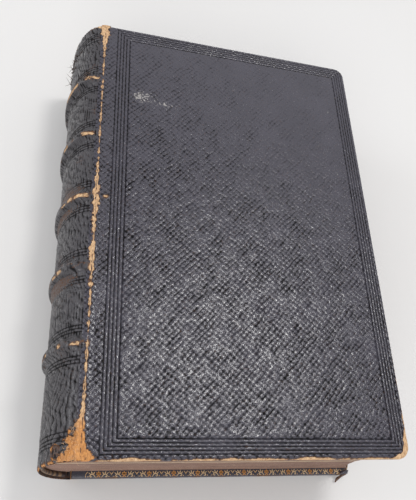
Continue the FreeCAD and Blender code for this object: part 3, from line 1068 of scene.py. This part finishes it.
def fibre_mesh(name, fibres, thick, seed, look):
    """Short bent fibres: three-sided tapering tubes, each with a root, a way and a length."""
    box = np.random.default_rng(seed)
    steps = 5
    points = []
    faces = []
    for root, way, length in fibres:
        way = np.array(way) / (np.linalg.norm(way) + 1e-9)
        bend = box.normal(0, 0.45, 3)
        side = np.cross(way, (0.3, 0.5, 0.8))
        side = side / np.linalg.norm(side)
        up = np.cross(way, side)
        faces += tube_faces(steps, 3, len(points))
        for t in np.linspace(0, 1, steps):
            centre = np.array(root) + way * length * t + bend * length * 0.55 * t * t
            size = thick * (1 - 0.8 * t)
            for turn in (0, 2.1, 4.2):
                points.append(centre + size * (math.cos(turn) * side + math.sin(turn) * up))
    return add_object(name, points, faces, look, layers=plain_layers(len(points), 0.9))


def plain_layers(count, worn):
    """Layers of a leather piece that is evenly worn."""
    return {"tops": np.full(count, 0.5), "worn": np.full(count, worn), "scuffed": np.zeros(count)}


def spine_point(turn, y, out):
    """A place on the spine, or that far out from it."""
    x, z, out_x, out_z = arc_points(turn, 0)
    return np.array((x + out_x * out, y, z + out_z * out))


def make_head_fray():
    """Broken leather threads that stand off the spine near its head."""
    box = np.random.default_rng(21)
    fibres = []
    for _ in range(46):
        turn = 1.3 + 0.75 * box.random()
        y = HALF_Y - (4.5 + 8.5 * box.random()) * MM
        out = spine_point(turn, y, 1.0) - spine_point(turn, y, 0.0)
        way = out * 0.3 + box.normal(0, 1, 3) * (0.5, 1.0, 0.7)
        fibres.append((spine_point(turn, y, -0.05 * MM), way, (0.8 + 1.9 * box.random()) * MM))
    return fibre_mesh("spine_head_fray", fibres, 0.13 * MM, 22, "brown_fibre")


def make_tail_fray():
    """Pale fibres of torn leather at the tail end of the front joint."""
    box = np.random.default_rng(31)
    fibres = []
    for _ in range(150):
        y = -HALF_Y + (0.2 + 8 * box.random() ** 1.6) * MM
        reach = float(np.interp((y + HALF_Y) / MM, [0, 4, 9], [5.0, 3.8, 1.2]))
        out = (0.35 + reach * box.random()) * MM
        turn = math.pi - math.asin(min(1.0, out / BULGE))
        way = box.normal(0, 1, 3) * (1.0, 1.0, 0.08) - (0.6, 0, 0.06)
        fibres.append((spine_point(turn, y, -0.05 * MM), way, (0.35 + 0.9 * box.random()) * MM))
    return fibre_mesh("spine_tail_fray", fibres, 0.05 * MM, 32, "tan_fibre")


def strip_points(centres, halves, across, lift):
    """Three points across at each place along a strip, with its middle lifted."""
    half = np.broadcast_to(halves, len(centres))[:, None]
    sides = [-np.array(across), np.array(lift), np.array(across)]
    return np.stack([centres + half * side for side in sides], 1)


def make_corner_strip():
    """Curled leather and a brown hanging strip at the back board's tail corner."""
    t = np.linspace(0, 1, 30)
    x = FORE_X - 2.0 * MM - 3.0 * MM * t + 0.35 * MM * np.sin(7 * t)
    y = -HALF_Y + 0.9 * MM - 2.9 * MM * t
    z = COVER_THICK + 0.25 * MM * np.sin(math.pi * t) - 1.75 * MM * t * t
    halves = 0.62 * MM * (1 - 0.65 * t) * (1 + 0.3 * np.sin(11 * t))
    hanging = strip_points(xyz(x, y, z), halves, (0.75, -0.55, 0.25), (0, -0.3, 0.6))
    turn = np.linspace(0.1, 4.6, 30)
    reach = (0.95 - 0.11 * turn) * MM
    x = FORE_X - 2.5 * MM + 0.2 * MM * np.sin(2 * turn)
    y = -HALF_Y + 0.75 * MM - reach * np.sin(turn) * 0.75
    z = COVER_THICK + 0.55 * MM - reach * np.cos(turn) * 0.75
    curled = strip_points(xyz(x, y, z), 1.35 * MM, (1.0, 0.12, 0), (0, 0, 0.08))
    faces = grid_faces(30, 3).tolist() + grid_faces(30, 3, 90).tolist()
    layers = plain_layers(180, 0.42)
    layers["worn"][90:] = 0.1
    piece = add_object("corner_torn_strip", [hanging, curled], faces, "leather", layers=layers)
    thicken = piece.modifiers.new("leather", "SOLIDIFY")
    thicken.thickness = 0.2 * MM
    thicken.offset = 0
    return piece


# ---- floor and assembly

def make_floor():
    """A pale table top that curves up far away, so that it has no edge behind the book."""
    flat, bowl, rise = 0.9, 2.3, 0.62
    shares = np.concatenate([np.linspace(0, 1, 24) * flat, flat + np.linspace(0, 1, 26)[1:] * bowl])
    around = np.linspace(0, 2 * math.pi, 72, endpoint=False)
    reach, angle = np.meshgrid(shares + 0.001, around, indexing="ij")
    x = reach * np.cos(angle)
    y = reach * np.sin(angle)
    z = rise * (np.clip(reach - flat, 0, None) / bowl) ** 2
    z = z - 0.35 * MM + 0.2 * MM * (noise(x, y, 0.4, 81) - 0.5)
    faces = tube_faces(*reach.shape, flip=True)[:-1]
    add_object("table_top", xyz(x, y, z), faces, "table")


def paint_node(name, look):
    """Gives a kept CAD piece its procedural material."""
    piece = frame["nodes"][name]
    piece.data.materials.clear()
    piece.data.materials.append(MATERIALS[look])


make_camera()
make_lights()

# Name, darkest and palest tone, scale of the unevenness, smoothest and roughest, depth in metres,
# and for CAD pieces the stretch of the pattern
PLAIN = {
    "lining": ("mull_lining", (0.34, 0.30, 0.24), (0.52, 0.47, 0.38), 3.0, 0.8, 0.95, 0.00008),
    "cord": ("hemp_cord", (0.30, 0.22, 0.13), (0.52, 0.42, 0.28), 2.4, 0.8, 0.95, 0.00010),
    "tan_fibre": ("torn_leather", (0.42, 0.20, 0.08), (0.80, 0.54, 0.32), 2.0, 0.8, 0.95, 0.00004),
    "brown_fibre": ("frayed_leather", (0.020, 0.014, 0.012), (0.10, 0.06, 0.04), 2.0, 0.6, 0.9, 0.00004),
    "board": ("grey_board", (0.26, 0.23, 0.19), (0.42, 0.38, 0.32), 1.8, 0.85, 0.95, 0.00008, (1, 1, 1)),
    "slips": ("hemp_slips", (0.32, 0.24, 0.15), (0.54, 0.44, 0.30), 2.4, 0.8, 0.95, 0.00008,
              (0.4, 2.5, 2.5)),
    "thread": ("linen_thread", (0.55, 0.47, 0.35), (0.75, 0.68, 0.55), 3.0, 0.7, 0.9, 0.00005, (1, 1, 1)),
}

MATERIALS = {
    "leather": leather_material("black_goatskin", (0.041, 0.039, 0.052), 0.10),
    "spine": leather_material("black_goatskin_spine", (0.037, 0.035, 0.040), 0.18),
    "edges": edge_material(),
    "leaf": leaf_material(),
    "endpaper": endpaper_material(False),
    "pastedown": endpaper_material(True),
    "silk": silk_material(),
    "gold": gold_material(),
    "table": floor_material(),
    **{look: simple_material(*values) for look, values in PLAIN.items()},
}

covers = [make_cover("front_cover_skin", 1, 0.455 * MM, 0.16 * MM, 1),
          make_cover("back_cover_skin", -1, 0.55 * MM, 0.19 * MM, 7)]
for cover, board in zip(covers, ("front", "back")):
    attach(cover, f"{board}_board")
    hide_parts(f"{board}_cover_leather")

around_spine = [(make_spine(), "spine_leather", "spine_leather"), (make_lining(), "spine_lining", "lining")]
for k, band in enumerate(BANDS):
    around_spine.append((make_cord(f"band_cord_{k + 1}", band), f"sewing_cord_{k + 1}", "cord"))
for end in ("head", "tail"):
    around_spine.append((make_endband(f"{end}_band_silk", f"{end}_band"), f"{end}_band", "endband"))
for piece, node_name, slot in around_spine:
    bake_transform(piece)
    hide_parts(node_name)

for mirror, half in ((False, "lower"), (True, "upper")):
    pages = make_pages(f"{half}_pages", mirror)
    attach(pages, f"{half}_block")
    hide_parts(*[f"{half}_section_{k:02d}" for k in range(1, 11)])

for k in range(1, 5):
    leaf = make_leaf(f"middle_leaf_{k}_sheet", f"middle_leaf_{k}", 90 + k)
    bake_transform(leaf)
    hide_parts(f"middle_leaf_{k}")

for cover, block in (("front", "upper_block"), ("back", "lower_block")):
    for kind, face in (("free_endpaper", "endpaper"), ("flyleaf", "leaf")):
        low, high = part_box(f"{cover}_{kind}")
        sheet = make_leaf(f"{cover}_{kind}_sheet", f"{cover}_{kind}", 100 + len(cover) + len(kind), face)
        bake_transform(sheet)
        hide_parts(f"{cover}_{kind}")

joints = [("front", 1, ("upper_block", "front_board"), TOP_Z), ("back", -1, ("back_board", "lower_block"), 0)]
for board, side, bodies, level in joints:
    strip = make_joint_leather(f"{board}_joint_leather", side)
    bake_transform(strip)

inner = make_inner_hinge("front_inner_hinge", 1)
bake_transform(inner)
inner = make_inner_hinge("back_inner_hinge", -1)
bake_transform(inner)

for side, board in ((1, "front"), (-1, "back")):
    roll = make_gold_roll(f"{board}_gold_roll", side)
    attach(roll, f"{board}_board")

for piece in (make_head_fray(), make_tail_fray()):
    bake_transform(piece)
torn = make_corner_strip()
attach(torn, "back_board")

for board in ("front", "back"):
    paint_node(f"{board}_board_core", "board")
    paint_node(f"{board}_cord_slips", "slips")
    paint_node(f"{board}_pastedown", "pastedown")
for half in ("lower", "upper"):
    paint_node(f"{half}_sewing_thread", "thread")

make_floor()
